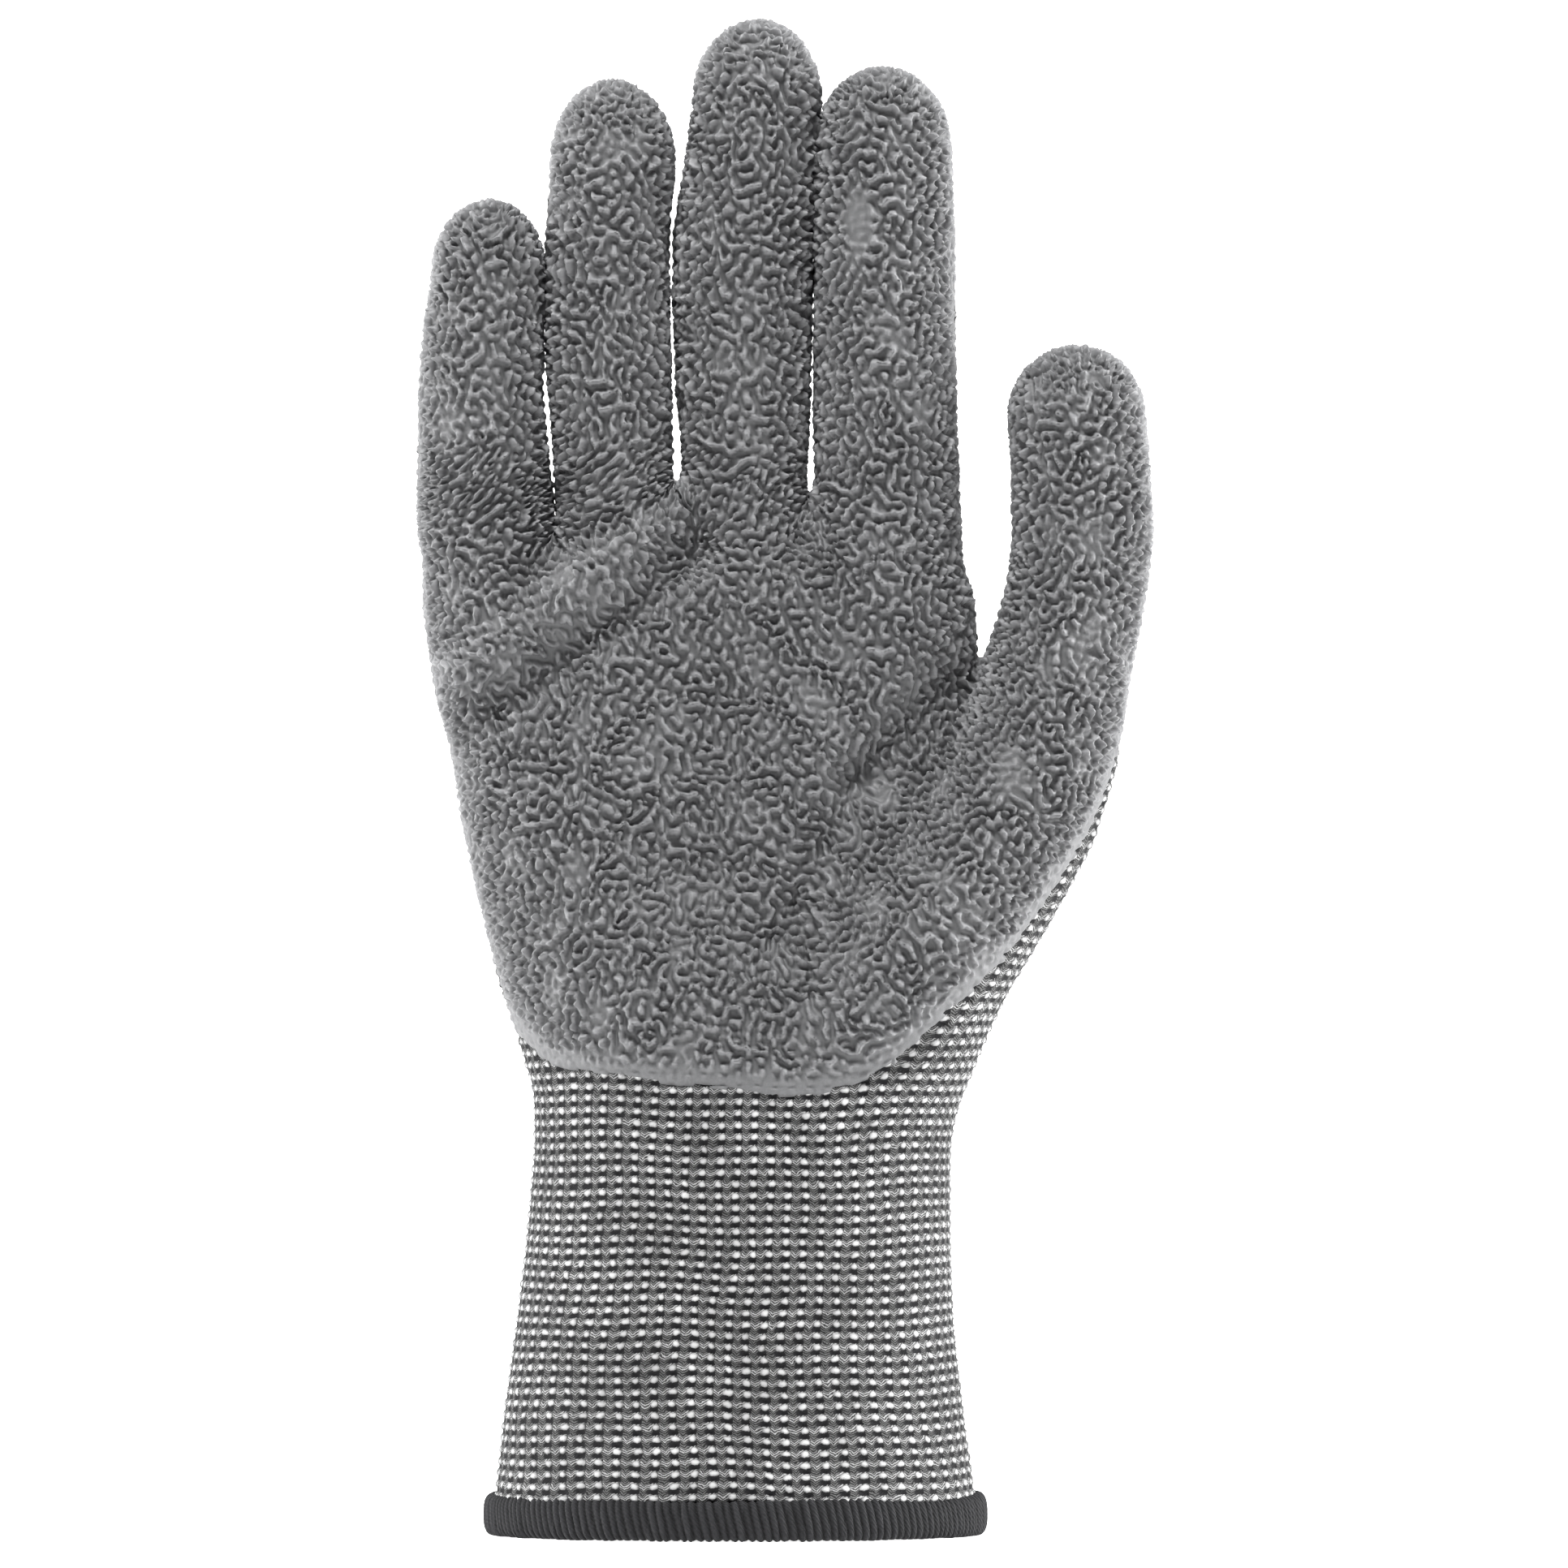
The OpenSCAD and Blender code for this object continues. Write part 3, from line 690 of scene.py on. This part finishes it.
CLOTH_LOW = 2.6             # the cuff's cloth starts at this height, inside the hem
on_hand = on_digit < 0
on_cuff = (cell_z > CLOTH_LOW) & (cell_z <= CUFF_TOP)
cuff_cloth = cut("knit_cuff_cloth", knit_skin, knit_out, knitted & on_cuff, knit_cloth, knit_layer)
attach(cuff_cloth, "cuff")
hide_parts("knit_cuff")
on_wrist = on_hand & (cell_z > CUFF_TOP) & (cell_z <= LINER_TOP)
wrist_cloth = cut("knit_wrist_cloth", knit_skin, knit_out, knitted & on_wrist, knit_cloth, knit_layer)
point(CUFF_TOP)
point(WRIST_TOP)
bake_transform(wrist_cloth)
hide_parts("knit_hand")
above_wrist = on_hand & (cell_z > LINER_TOP)
hand_cloth = cut("knit_hand_cloth", knit_skin, knit_out, knitted & above_wrist, knit_cloth, knit_layer)
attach(hand_cloth, "hand")
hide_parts("knit_hand")
along_digits("knit", knitted, knit_skin, knit_out, knit_cloth, knit_layer)


# ---------------------------------------------------------------------------------------------
# Latex coat, dipped over the palm side, the sides of the digits and the fingertips. It is
# crinkled: as the wet latex shrank, its skin folded into a maze of fine sharp wrinkles. Near
# its edge the latex soaked into the knit and dried thin, smooth and a little uneven.
# ---------------------------------------------------------------------------------------------
WRINKLE = 1.6               # height of a wrinkle
KINKED = 0.5                # how much the wrinkles kink; 0 makes them flow smoothly
rng = np.random.default_rng(7)
pull = rng.standard_normal(len(sides))
pull_at = (np.bincount(end_a, pull, len(skin)) + np.bincount(end_b, pull, len(skin))) / links
pull = pull + 0.5 * (pull_at[end_a] + pull_at[end_b])
pull = np.exp(KINKED * pull / pull.std())
pulled = np.bincount(end_a, pull, len(skin)) + np.bincount(end_b, pull, len(skin))


def crumple(values, times):
    """Evens values out as well, but more along some threads of the skin than along others."""
    for _ in range(times):
        beside = np.bincount(end_a, pull * values[end_b], len(skin))
        beside += np.bincount(end_b, pull * values[end_a], len(skin))
        values = 0.5 * values + 0.5 * beside / pulled
    return values


# A maze grows out of chance: what differs from its surroundings is made to differ more
ROUNDS = 5                  # this many times
FINE = 4                    # how far a wrinkle is evened out, and then its surroundings
WIDE = 8
HARD = 1.3                  # how much more it differs each time
maze = rng.standard_normal(len(skin))
for _ in range(ROUNDS):
    fine = crumple(maze, FINE)
    maze = fine - crumple(fine, WIDE)
    maze = np.tanh(HARD * maze / maze.std())
maze = crumple(maze, 2)
maze = maze / np.percentile(maze, 90)

# Sharp crests with shallow dips between them, lower in some calm patches
calm = spread(rng.standard_normal(len(skin)), 90)
calm = calm / calm.std()
crest = np.clip(1 - 0.98 * np.sqrt(np.clip(1.06 - maze, 0, 2)), 0, 1) + 0.12 * np.clip(maze, -1, 0)
crest = crest * np.clip(1 - 0.25 * np.maximum(calm, 0), 0.3, 1)

# The index finger has one smooth oval patch: its middle across and up, and half its size
patch_at = (12.3, 217)
patch_half = (2.4, 5.0)
patch = ((skin[:, 0] - patch_at[0]) / patch_half[0]) ** 2
patch += ((skin[:, 2] - patch_at[1]) / patch_half[1]) ** 2
crest = crest * np.where(skin[:, 1] < 0, 0.2 + 0.8 * ease(patch, 0.5, 1.5), 1)

# The coat thins out over its edge, where the loops show through, and its sides are smoother
ridge = crest * ease(coated, 1.0, 4.5)
thick = -0.8 + 0.75 * ease(coated, -0.6, 0.5) + 0.05 * ease(coated, 0.5, 4.0)
ghost = relief * 0.8 * (1 - ease(coated, 1.5, 4.5))
steep = 0.3 + 0.7 * ease(np.abs(out[:, 1]), 0.1, 0.75)
coat_skin = skin + out * (thick + ghost + WRINKLE * steep * ridge)[:, None]
coat_out = point_normals(coat_skin, quads)

latex, start = start_material("crinkled_latex")
cloth = start.node("Attribute", {"attribute_name": "cloth"}, {}, "Vector")
ridged = start.node("Attribute", {"attribute_name": "ridge"}, {}, "Fac")
soaked = start.node("Attribute", {"attribute_name": "soaked"}, {}, "Fac")
blotch = start.noise(cloth, 0.16, 3.0)
grain = start.noise(cloth, 3.2, 3.0)
# The wrinkles' crests are painted lighter and their creases darker: painted light and shade, on top of the
# latex's own blotches and grain
tone_and_painted_crests = ridged.step(-0.1, 0.55, 0.70, 1.25) * (blotch * 0.25 + 0.88) * (grain * 0.16 + 0.92)
tone_and_painted_crests = tone_and_painted_crests + soaked * (grain * 0.4 - 0.05) * 0.8
latex_grey = start.node("VectorMath", {"operation": "SCALE"},
                        {0: (0.126, 0.127, 0.130), "Scale": tone_and_painted_crests})
rough = grain.step(0.3, 0.7, 0.50, 0.64) - ridged * 0.06
latex_bump = start.node("Bump", {}, {"Strength": 0.35, "Distance": 0.00012,
                                     "Height": grain + start.noise(cloth, 1.1, 2.0) * 1.5})
finish_material(latex, {"Base Color": latex_grey, "Roughness": rough, "Specular IOR Level": 0.42,
                        "Normal": latex_bump})
coat_layer = {"cloth": skin, "ridge": ridge, "soaked": 1 - ease(coated, 1.0, 5.0)}
OVER_EDGE = 0.9             # the coat is drawn this far past its edge, inside the knit
covered = cell_coat > -OVER_EDGE
hand_coat = cut("coat_hand_cloth", coat_skin, coat_out, covered & on_hand, latex, coat_layer)
point(CUFF_TOP)
point(WRIST_TOP)
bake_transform(hand_coat)
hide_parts("coat_hand")
along_digits("coat", covered, coat_skin, coat_out, latex, coat_layer)


# ---------------------------------------------------------------------------------------------
# Elastic in the cuff: turns of rubber yarn covered with a fine pale thread, laid into the rows
# on the inside of the cuff. The thread is wound on at a slant, so that it can stretch.
# ---------------------------------------------------------------------------------------------
covered_yarn, start = start_material("covered_elastic")
place = start.node("TexCoord", {}, {}, "Object")
winding = start.node("TexWave", {"wave_type": "BANDS", "bands_direction": "DIAGONAL"},
                     {"Vector": place, "Scale": 420.0, "Distortion": 1.5, "Detail": 2.0,
                      "Detail Scale": 3.0})
lint = start.noise(place, 2200.0, 3.0)
yarn_grey = winding.node("VectorMath", {"operation": "SCALE"},
                         {0: (0.62, 0.62, 0.60), "Scale": winding * 0.35 + lint * 0.3 + 0.5})
yarn_bump = start.node("Bump", {}, {"Strength": 0.6, "Distance": 0.0002, "Height": winding + lint * 0.4})
finish_material(covered_yarn, {"Base Color": yarn_grey, "Roughness": 0.75, "Normal": yarn_bump})
elastic = frame["nodes"]["cuff_elastic"]
elastic.data.materials.clear()
elastic.data.materials.append(covered_yarn)


# ---------------------------------------------------------------------------------------------
# Overlocked hem: black thread wound over the cuff's raw edge, turn beside turn, so that it
# makes a rounded band of fine slanted ridges. It holds the glove's lowest row of loops.
# ---------------------------------------------------------------------------------------------
hem_low, hem_high = box_mm("hem_overlock")
hem_mid = (hem_low + hem_high) / 2
hem_half = (hem_high - hem_low) / 2
TURN = 1.2                  # from one turn of thread to the next
PER_TURN = 8                # points along the hem for each turn
RING = 30                   # points round the band
BAND_HALF = 1.9             # half the band's thickness
THREAD = 0.45               # how far the turns stand out, at most
SLANT = 0.55                # how many turns the thread leans, from the band's top to its bottom
hem_round = np.pi * (hem_half[0] + hem_half[1])
turns = int(hem_round / TURN)
s = np.arange(turns * PER_TURN) / (turns * PER_TURN)
around_hem = s[:, None] * 2 * np.pi
section = np.arange(RING)[None, :] / RING * 2 * np.pi
cos_s, sin_s = np.cos(section), np.sin(section)
SQUARE = 3                  # 2 is a round band, and more is squarer
rounded = (np.abs(cos_s) ** SQUARE + np.abs(sin_s) ** SQUARE) ** (-1 / SQUARE)
uneven = rng.uniform(-0.16, 0.16, turns)
turn_at = s * turns
which = turn_at.astype(int) % turns
phase = turn_at[:, None] + SLANT * sin_s + uneven[which][:, None] * 0.5
thread = np.abs(np.sin(np.pi * phase)) ** 0.8
swell = 0.42 * thread + 0.10 * rng.uniform(-1, 1, turns)[which][:, None] * thread
reach = (BAND_HALF - THREAD + swell) * rounded * cos_s
lift = hem_half[2] + (hem_half[2] - THREAD + swell * 0.9) * rounded * sin_s
wavy_top = 0.25 * np.sin(around_hem * 5 + 0.7) * (sin_s > 0) * sin_s
lift = np.maximum(lift, 0.02) + wavy_top        # nothing goes below the table
hem_points = np.stack([
    hem_mid[0] + (hem_half[0] - BAND_HALF + reach) * np.cos(around_hem),
    hem_mid[1] + (hem_half[1] - BAND_HALF + reach) * np.sin(around_hem),
    lift,
], axis=-1).reshape(-1, 3)
rows = turns * PER_TURN
i, j = np.meshgrid(np.arange(rows), np.arange(RING), indexing="ij")
i2 = (i + 1) % rows
j2 = (j + 1) % RING
corners = [i * RING + j, i2 * RING + j, i2 * RING + j2, i * RING + j2]
hem_faces = np.stack(corners, axis=-1).reshape(-1, 4)
hem_mesh = bpy.data.meshes.new("hem_thread")
hem_mesh.from_pydata(hem_points / MM, [], hem_faces)
hem_mesh.shade_smooth()
hem_turned = hem_mesh.attributes.new("turned", "FLOAT", "POINT")
hem_turned.data.foreach_set("value", swell.reshape(-1).astype(np.float32))
black_thread, start = start_material("black_overlock_thread")
place = start.node("TexCoord", {}, {}, "Object")
turned = start.node("Attribute", {"attribute_name": "turned"}, {}, "Fac")
strand = start.node("TexWave", {"wave_type": "BANDS", "bands_direction": "DIAGONAL"},
                    {"Vector": place, "Scale": 900.0, "Distortion": 2.0, "Detail": 2.0})
fluff = start.noise(place, 1800.0, 3.0)
# The turns are painted lighter where they stand out and darker in the grooves between them: painted light
# and shade, with the thread's own fluff and strands
thread_fluff_and_painted_turns = turned.step(0.05, 0.45, 0.25, 1.5) * (fluff * 0.9 + 0.5) + strand * 0.3
thread_grey = strand.node("VectorMath", {"operation": "SCALE"},
                          {0: (0.011, 0.011, 0.012), "Scale": thread_fluff_and_painted_turns})
thread_bump = start.node("Bump", {}, {"Strength": 0.6, "Distance": 0.00015, "Height": strand + fluff})
finish_material(black_thread, {"Base Color": thread_grey, "Roughness": 0.75,
                               "Specular IOR Level": 0.15, "Sheen Weight": 0.02, "Normal": thread_bump})
hem_mesh.materials.append(black_thread)
hem = bpy.data.objects.new("hem_thread", hem_mesh)
bpy.context.scene.collection.objects.link(hem)
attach(hem, "cuff")
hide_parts("hem_overlock")


# ---------------------------------------------------------------------------------------------
# The studio: a pale floor, a bright white sweep under and behind the glove, a dim even light
# all round, a tall soft light on each side and one above. The camera looks level at the palm.
# ---------------------------------------------------------------------------------------------
SIDE = 6                    # how far the floor runs to each side and forward, in metres
SWEEP_FROM = -0.12          # the bright sweep starts here, just in front of the glove
SWEEP_BACK = 4              # and turns up into a wall here
SWEEP_HIGH = 6


def sheet(name, lines, material):
    """A sheet for the glove to stand on, through lines across it at these depths and heights."""
    mesh = bpy.data.meshes.new(name)
    edge_points = [(x, y, z) for y, z in lines for x in (-SIDE, SIDE)]
    faces = [(k, k + 1, k + 3, k + 2) for k in range(0, len(edge_points) - 2, 2)]
    mesh.from_pydata(edge_points, [], faces)
    mesh.materials.append(material)
    holder = bpy.data.objects.new(name, mesh)
    bpy.context.scene.collection.objects.link(holder)
    return holder


pale, _ = start_material("pale_floor")
finish_material(pale, {"Base Color": (0.86, 0.86, 0.86, 1), "Roughness": 0.9})
floor = sheet("floor", [(-SIDE, 0), (SWEEP_FROM, 0)], pale)

bright, _ = start_material("lit_backdrop")
finish_material(bright, {"Base Color": (0.9, 0.9, 0.9, 1), "Roughness": 0.9,
                         "Emission Color": (1, 1, 1, 1), "Emission Strength": 0.9})
wall = sheet("backdrop", [(SWEEP_FROM, 0), (SWEEP_BACK, 0), (SWEEP_BACK, SWEEP_HIGH)], bright)

room = bpy.data.worlds.new("bright_room")
room.use_nodes = True
room.node_tree.nodes["Background"].inputs["Color"].default_value = (1, 1, 1, 1)
room.node_tree.nodes["Background"].inputs["Strength"].default_value = 0.22
bpy.context.scene.world = room

# Each light's name, place, width and height, and power
AIM = Vector((0, 0, 0.14))  # they point at the palm
lights = [
    ("left", (-1.0, 0.05, 0.25), (0.4, 0.8), 22.0),
    ("right", (1.0, 0.0, 0.25), (0.4, 0.8), 29.0),
    ("above", (-0.1, -0.4, 1.05), (0.3, 0.3), 18.0),
]
for name, place, size, power in lights:
    light = bpy.data.lights.new(name, "AREA")
    light.shape = "RECTANGLE"
    light.size, light.size_y = size
    light.energy = power
    holder = bpy.data.objects.new(name, light)
    holder.location = place
    holder.rotation_euler = (AIM - Vector(place)).to_track_quat("-Z", "Y").to_euler()
    bpy.context.scene.collection.objects.link(holder)

bpy.context.scene.view_settings.view_transform = "Standard"

FAR = 2.5                   # the camera stands this far in front
EYE_HEIGHT = 0.1239
VIEW = 0.2588               # width of the view at the glove
FILM = 36                   # width of the camera's film, in millimetres
view = bpy.data.cameras.new("camera")
view.sensor_width = FILM
view.lens = FILM * FAR / VIEW
view.clip_end = 20
camera = bpy.data.objects.new("camera", view)
camera.location = (0, -FAR, EYE_HEIGHT)
camera.rotation_euler = (math.radians(90), 0, 0)
bpy.context.scene.collection.objects.link(camera)
bpy.context.scene.camera = camera
